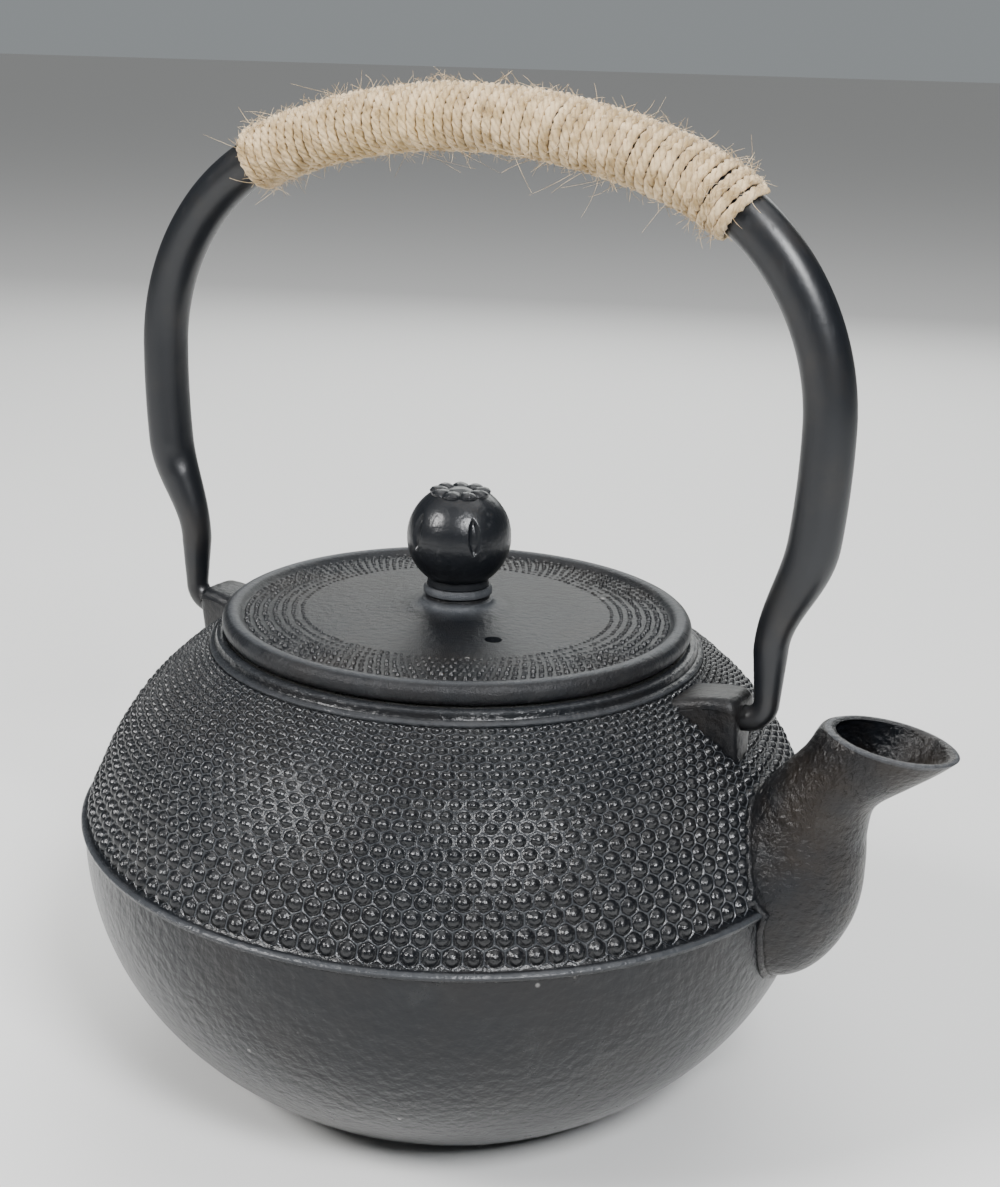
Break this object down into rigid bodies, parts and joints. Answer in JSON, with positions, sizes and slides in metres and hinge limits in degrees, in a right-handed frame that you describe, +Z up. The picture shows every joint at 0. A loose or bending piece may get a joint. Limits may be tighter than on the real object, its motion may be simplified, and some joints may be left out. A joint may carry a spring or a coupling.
{
  "type": "cast iron teapot",
  "caption": "Squat black cast iron teapot with hobnail shoulder, short flared spout, lift-off lid with ball knob, infuser basket and a swinging twine-wrapped bail handle.",
  "frame": {"origin": "centre of the flat base of the pot, on the surface it stands on", "axes": "+Z up along the axis of the pot, +X toward the spout; the pivot line of the bail runs along X"},
  "size_m": [0.2004, 0.1652, 0.2188],
  "materials": {
    "iron": "black enamelled, semi-gloss",
    "knob_black": "glossy black",
    "handle_black": "satin black",
    "twine": "matt jute twine",
    "steel": "bright stainless"
  },
  "bodies": {
    "pot": {"pot_body": "iron"},
    "infuser": {"infuser_rim": "steel", "infuser_wall": "steel", "infuser_base": "steel"},
    "lid": {"lid": "iron", "lid_knob": "knob_black", "knob_screw": "steel", "knob_washer": "steel"},
    "bail": {"handle_tube": "handle_black", "twine_wrap": "twine"}
  },
  "joints": [
    {"name": "infuser_lift", "type": "slide", "parent": "pot", "child": "infuser", "axis": [0, 0, 1], "range_m": [0, 0.045]},
    {"name": "lid_lift", "type": "slide", "parent": "infuser", "child": "lid", "axis": [0, 0, 1], "range_m": [0, 0.02]},
    {"name": "bail_swing", "type": "hinge", "parent": "pot", "child": "bail", "pos_m": [0, 0, 0.093], "axis": [1, 0, 0], "range_deg": [-100, 100]}
  ]
}
